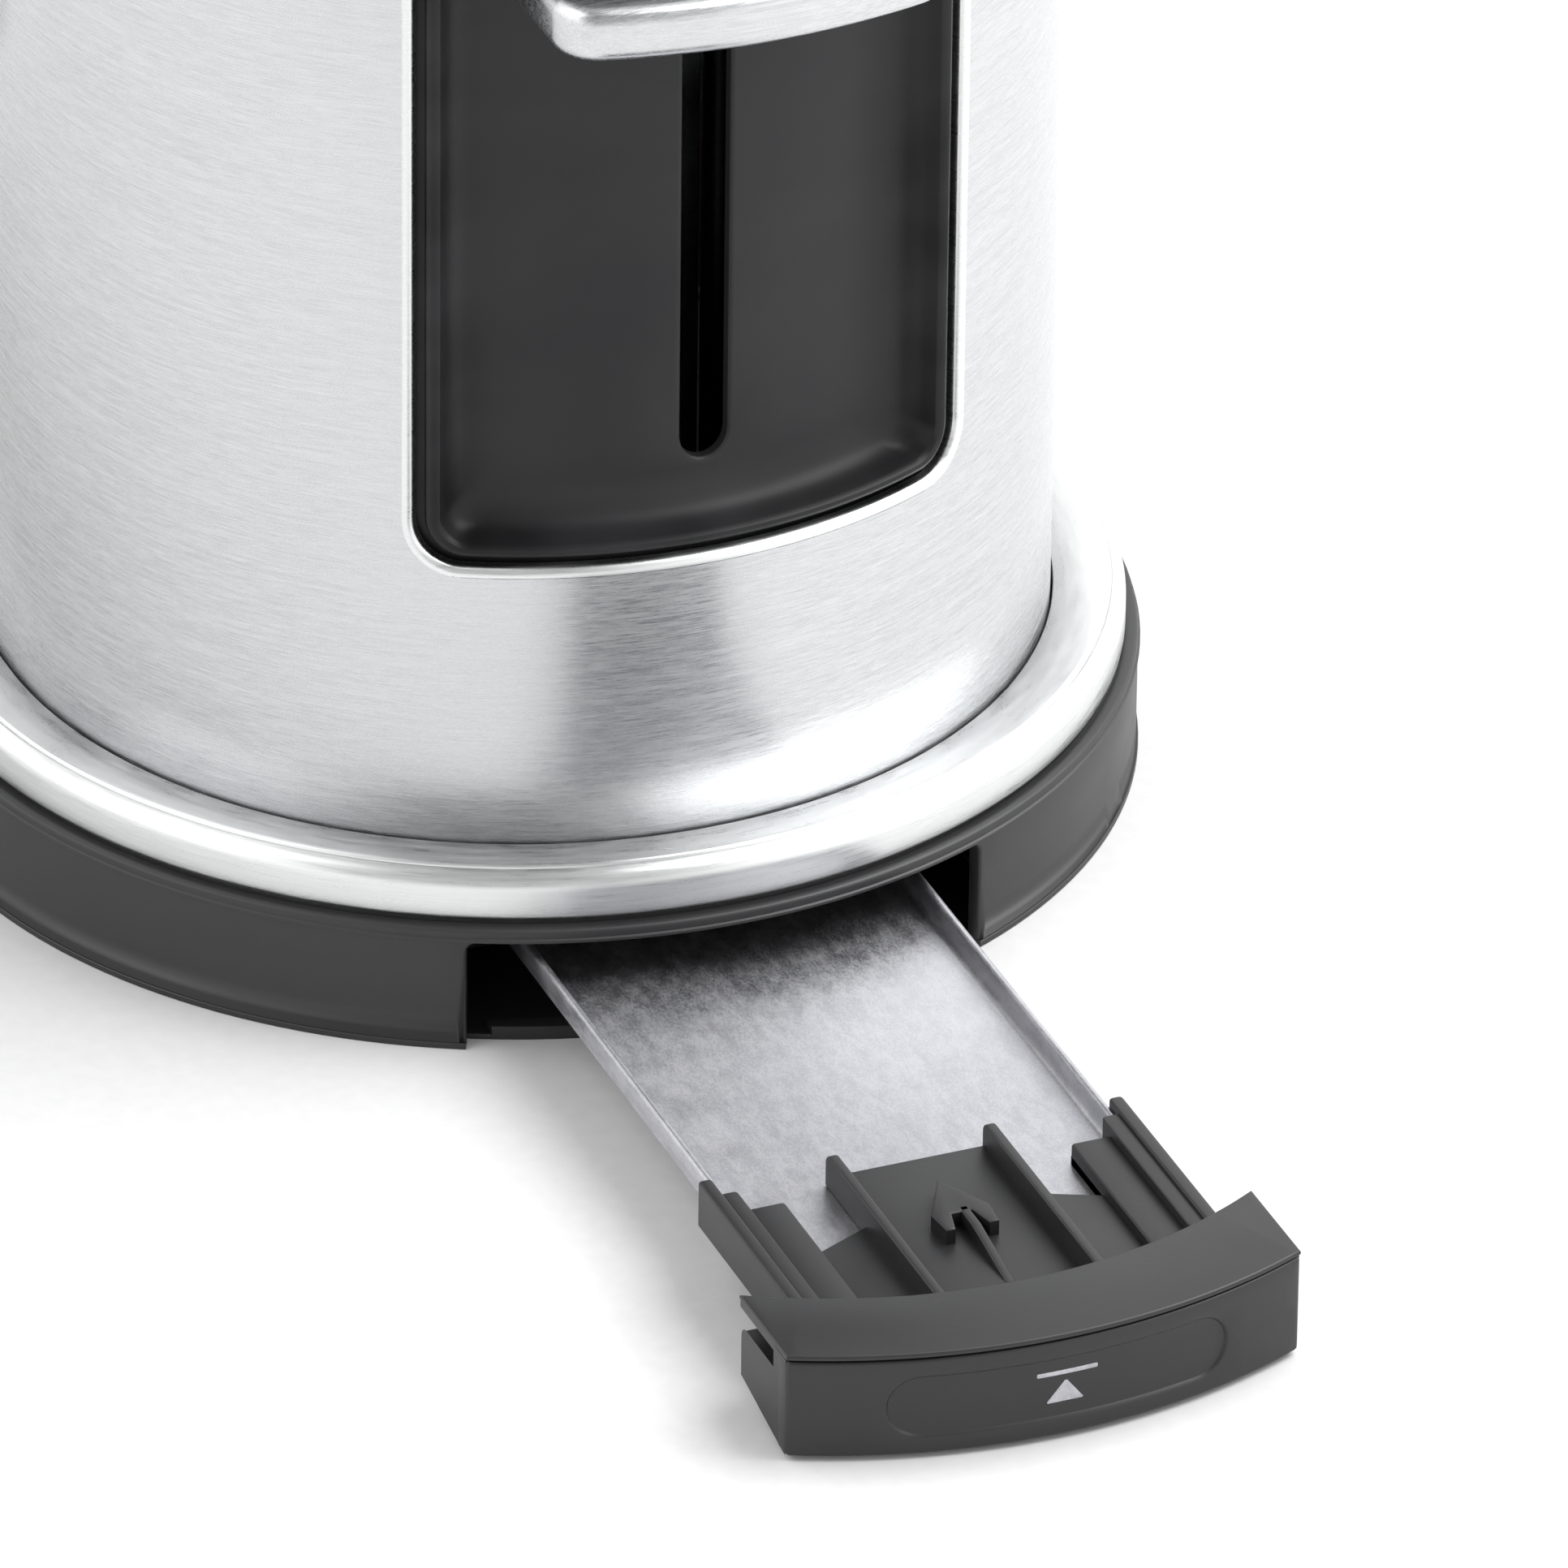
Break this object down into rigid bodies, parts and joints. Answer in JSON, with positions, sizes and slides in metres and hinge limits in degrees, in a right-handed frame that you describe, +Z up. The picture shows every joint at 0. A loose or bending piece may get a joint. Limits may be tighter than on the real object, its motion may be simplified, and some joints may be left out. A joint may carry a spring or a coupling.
{
  "type": "pop up toaster",
  "caption": "Pop-up toaster with round ends: brushed steel body on a black base, side-by-side bread slots, end lever in a black recess and a pull-out crumb tray.",
  "frame": {"origin": "middle of the base's footprint, on the table", "axes": "+X towards the lever and crumb tray end, -Y towards the side with the controls, +Z up"},
  "size_m": [0.4398, 0.185, 0.2],
  "materials": {
    "base_black": "satin",
    "tray_black": "satin",
    "recess_black": "satin",
    "control_black": "satin",
    "body_steel": "brushed",
    "ring_steel": "satin",
    "knob_steel": "satin",
    "pan_sheet": "matte",
    "chassis_sheet": "matte",
    "reflector_sheet": "satin",
    "mica": "matte",
    "heater_alloy": "satin",
    "guard_wire": "bright",
    "bright_steel": "bright",
    "magnet_iron": "matte",
    "copper_coil": "enamelled",
    "cream_plastic": "matte",
    "circuit_board": "satin",
    "switch_black": "matte",
    "lens": "gloss",
    "rubber": "matte",
    "lead_sleeve": "satin"
  },
  "bodies": {
    "housing": {"base_housing": "base_black", "bottom_plate": "base_black", "rubber_feet": "rubber", "base_screws": "bright_steel", "base_ring": "ring_steel", "body_shell": "body_steel", "recess_panel": "recess_black", "panel_screws": "bright_steel", "top_cover": "body_steel", "slot_frame_left": "recess_black", "slot_frame_right": "recess_black", "chassis_front_plate": "chassis_sheet", "chassis_rear_plate": "chassis_sheet", "chassis_screws": "bright_steel", "crumb_chute": "chassis_sheet", "reflector_left": "reflector_sheet", "reflector_right": "reflector_sheet", "heater_board_left": "mica", "heater_board_centre": "mica", "heater_board_right": "mica", "heater_wire_left": "heater_alloy", "heater_wire_centre": "heater_alloy", "heater_wire_right": "heater_alloy", "guide_rods": "bright_steel", "lift_spring": "bright_steel", "magnet_core": "magnet_iron", "magnet_coil": "copper_coil", "mains_switch": "cream_plastic", "switch_contacts": "copper_coil", "control_board": "circuit_board", "browning_pot": "switch_black", "tact_switches": "switch_black", "control_fascia": "control_black", "status_lenses": "lens", "cord_gland": "rubber", "terminal_block": "cream_plastic", "mains_leads": "lead_sleeve", "tray_rails": "base_black", "latch_bracket": "chassis_sheet"},
    "carriage": {"carriage_slider": "chassis_sheet", "rod_bushes": "cream_plastic", "armature": "magnet_iron", "lever_arm": "chassis_sheet", "lever_knob": "knob_steel", "knob_screw": "bright_steel", "bread_rack_left": "guard_wire", "bread_rack_right": "guard_wire"},
    "left_outer_guard": {"guard_left_outer": "guard_wire"},
    "left_inner_guard": {"guard_left_inner": "guard_wire"},
    "right_inner_guard": {"guard_right_inner": "guard_wire"},
    "right_outer_guard": {"guard_right_outer": "guard_wire"},
    "browning_dial": {"browning_knob": "control_black"},
    "stop_key": {"stop_button": "control_black"},
    "defrost_key": {"defrost_button": "control_black"},
    "reheat_key": {"reheat_button": "control_black"},
    "crumb_tray": {"tray_pan": "pan_sheet", "tray_front": "tray_black"},
    "tray_latch": {"latch_arm": "bright_steel"}
  },
  "joints": [
    {"name": "lever_slide", "type": "slide", "parent": "housing", "child": "carriage", "axis": [0, 0, 1], "range_m": [-0.078, 0], "stiffness_N_per_m": 110, "springref_m": 0.045, "deforming": ["lift_spring"]},
    {"name": "left_outer_guard_slide", "type": "slide", "parent": "housing", "child": "left_outer_guard", "axis": [0, 1, 0], "range_m": [0, 0.005]},
    {"name": "left_inner_guard_slide", "type": "slide", "parent": "housing", "child": "left_inner_guard", "axis": [0, -1, 0], "range_m": [0, 0.005]},
    {"name": "right_inner_guard_slide", "type": "slide", "parent": "housing", "child": "right_inner_guard", "axis": [0, 1, 0], "range_m": [0, 0.005]},
    {"name": "right_outer_guard_slide", "type": "slide", "parent": "housing", "child": "right_outer_guard", "axis": [0, -1, 0], "range_m": [0, 0.005]},
    {"name": "browning_turn", "type": "hinge", "parent": "housing", "child": "browning_dial", "pos_m": [0.015, -0.085, 0.113], "axis": [0, -1, 0], "range_deg": [-130, 130]},
    {"name": "stop_press", "type": "slide", "parent": "housing", "child": "stop_key", "axis": [0, 1, 0], "range_m": [0, 0.0016], "stiffness_N_per_m": 300, "springref_m": -0.001},
    {"name": "defrost_press", "type": "slide", "parent": "housing", "child": "defrost_key", "axis": [0, 1, 0], "range_m": [0, 0.0016], "stiffness_N_per_m": 300, "springref_m": -0.001},
    {"name": "reheat_press", "type": "slide", "parent": "housing", "child": "reheat_key", "axis": [0, 1, 0], "range_m": [0, 0.0016], "stiffness_N_per_m": 300, "springref_m": -0.001},
    {"name": "tray_slide", "type": "slide", "parent": "housing", "child": "crumb_tray", "axis": [1, 0, 0], "range_m": [-0.1183, 0.098]},
    {"name": "latch_turn", "type": "hinge", "parent": "housing", "child": "tray_latch", "pos_m": [0.106, -0.0075, 0.0168], "axis": [0, 0, 1], "range_deg": [0, 14], "stiffness_Nm_per_rad": 0.02}
  ],
  "couplings": [
    {"joint": "left_outer_guard_slide", "follows": "lever_slide", "ratio": -0.0641},
    {"joint": "left_inner_guard_slide", "follows": "lever_slide", "ratio": -0.0641},
    {"joint": "right_inner_guard_slide", "follows": "lever_slide", "ratio": -0.0641},
    {"joint": "right_outer_guard_slide", "follows": "lever_slide", "ratio": -0.0641}
  ]
}
